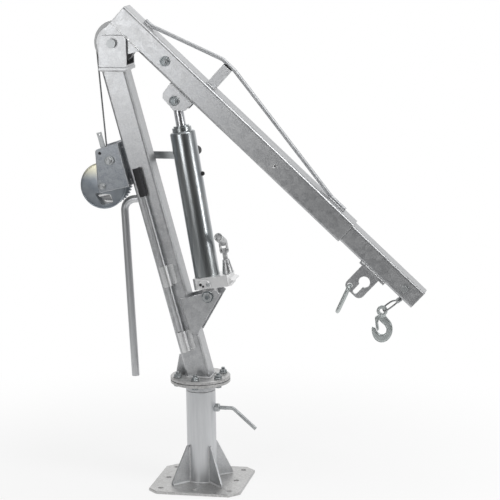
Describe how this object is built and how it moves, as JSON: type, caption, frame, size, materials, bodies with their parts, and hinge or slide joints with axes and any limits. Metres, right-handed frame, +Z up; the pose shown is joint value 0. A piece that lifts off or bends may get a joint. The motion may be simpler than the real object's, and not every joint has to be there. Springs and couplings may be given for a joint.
{
  "type": "hydraulic jib crane",
  "caption": "Swivelling jib crane on a bolt-down post: leaning square mast, jack-lifted telescopic jib with truss rod, cable winch, keyhole load plate and latched hook.",
  "frame": {"origin": "centre of the base plate's underside, on the swivel axis", "axes": "+Z up along the swivel axis, +X towards the jib's tip, +Y away from the viewer"},
  "size_m": [1.0207, 0.32, 1.4405],
  "materials": {
    "galvanised_steel": "hot-dip galvanised, satin with a faint spangle",
    "bright_zinc": "bright zinc, glossy",
    "zinc_hardware": "pale zinc plate",
    "chrome_rod": "polished",
    "wire_rope": "stranded steel wire",
    "black_rubber": "matte moulded rubber",
    "black_plastic": "moulded plastic",
    "cast_sheave": "machined casting"
  },
  "bodies": {
    "base": {"base_gusset_front_left": "galvanised_steel", "base_gusset_front_right": "galvanised_steel", "base_gusset_rear_left": "galvanised_steel", "base_gusset_rear_right": "galvanised_steel", "base_pipe": "galvanised_steel", "base_plate": "galvanised_steel"},
    "lock_handle": {"lock_screw": "zinc_hardware"},
    "drum": {"winch_drum": "zinc_hardware", "drum_gear": "zinc_hardware", "cable_coil": "wire_rope"},
    "crank": {"crank_shaft": "zinc_hardware", "crank_arm": "zinc_hardware", "crank_grip": "black_plastic"},
    "jib": {"outer_boom": "galvanised_steel", "cable_keeper": "zinc_hardware", "boom_cheek_near": "galvanised_steel", "boom_cheek_far": "galvanised_steel", "truss_post": "galvanised_steel", "truss_rod": "galvanised_steel", "jack_ear_near": "galvanised_steel", "jack_ear_far": "galvanised_steel", "boom_cable": "wire_rope"},
    "extension": {"inner_boom": "galvanised_steel", "tip_sheave": "cast_sheave", "tip_axle": "zinc_hardware", "load_strip": "galvanised_steel", "load_plate": "galvanised_steel", "tip_cable": "wire_rope", "cable_clip": "zinc_hardware"},
    "link": {"load_link": "zinc_hardware"},
    "hook": {"hook": "zinc_hardware"},
    "latch": {"hook_latch": "zinc_hardware"},
    "jack": {"jack_base": "bright_zinc", "jack_cylinder": "bright_zinc", "pump_column": "bright_zinc", "pump_plunger": "bright_zinc"},
    "ram": {"jack_ram": "chrome_rod"},
    "pump_lever": {"pump_socket": "bright_zinc"},
    "column": {"drum_axle": "zinc_hardware", "handle_clip_lower": "galvanised_steel", "handle_clip_upper": "galvanised_steel", "head_sheave": "cast_sheave", "jack_bracket_far": "galvanised_steel", "jack_bracket_near": "galvanised_steel", "jack_foot_pin": "zinc_hardware", "lower_flange": "galvanised_steel", "mast": "galvanised_steel", "mast_cap": "galvanised_steel", "mast_flange": "galvanised_steel", "mast_heel_plate": "galvanised_steel", "pivot_pin": "zinc_hardware", "pump_handle": "galvanised_steel", "pump_handle_grip": "black_rubber", "ratchet_wheel": "zinc_hardware", "swivel_spigot": "galvanised_steel", "turning_handle": "galvanised_steel", "winch_cable": "wire_rope", "winch_frame": "zinc_hardware", "winch_pawl": "zinc_hardware", "yoke": "galvanised_steel"}
  },
  "joints": [
    {"name": "swivel", "type": "hinge", "parent": "base", "child": "column", "pos_m": [0, 0, 0.3], "axis": [0, 0, 1], "continuous": true},
    {"name": "lock_turn", "type": "hinge", "parent": "base", "child": "lock_handle", "pos_m": [0.06, 0, 0.235], "axis": [1, 0, 0], "continuous": true},
    {"name": "luff", "type": "hinge", "parent": "column", "child": "jib", "pos_m": [-0.23327, 0, 1.334], "axis": [0, -1, 0], "range_deg": [0, 85]},
    {"name": "jack_tilt", "type": "hinge", "parent": "column", "child": "jack", "pos_m": [0.0365, 0, 0.585], "axis": [0, -1, 0], "range_deg": [-3.77, 0.3]},
    {"name": "ram_slide", "type": "slide", "parent": "jack", "child": "ram", "axis": [-0.1542, 0, 0.988], "range_m": [-0.002, 0.3314]},
    {"name": "jib_extend", "type": "slide", "parent": "jib", "child": "extension", "axis": [0.7284, 0, -0.6852], "range_m": [-0.08, 0.3]},
    {"name": "drum_spin", "type": "hinge", "parent": "column", "child": "drum", "pos_m": [-0.27224, 0, 0.91399], "axis": [0, 1, 0], "continuous": true},
    {"name": "crank_spin", "type": "hinge", "parent": "column", "child": "crank", "pos_m": [-0.24788, 0, 0.99124], "axis": [0, 1, 0], "continuous": true},
    {"name": "pump_stroke", "type": "hinge", "parent": "jack", "child": "pump_lever", "pos_m": [0.08031, 0, 0.71936], "axis": [0.988, 0, 0.1542], "range_deg": [-25, 20]},
    {"name": "link_swing", "type": "hinge", "parent": "extension", "child": "link", "pos_m": [0.45626, 0, 0.62358], "axis": [0, -1, 0], "range_deg": [-90, 30]},
    {"name": "hook_swing", "type": "hinge", "parent": "extension", "child": "hook", "pos_m": [0.5547, 0, 0.55156], "axis": [0, -1, 0], "range_deg": [-80, 30]},
    {"name": "latch_open", "type": "hinge", "parent": "hook", "child": "latch", "pos_m": [0.53602, 0, 0.52798], "axis": [0, -1, 0], "range_deg": [0, 35], "stiffness_Nm_per_rad": 0.02, "springref_deg": -22.92}
  ],
  "couplings": [
    {"joint": "jack_tilt", "follows": "luff", "ratio": -0.040865},
    {"joint": "ram_slide", "follows": "luff", "m_per_rad": 0.22204},
    {"joint": "crank_spin", "follows": "drum_spin", "ratio": -4.4}
  ]
}
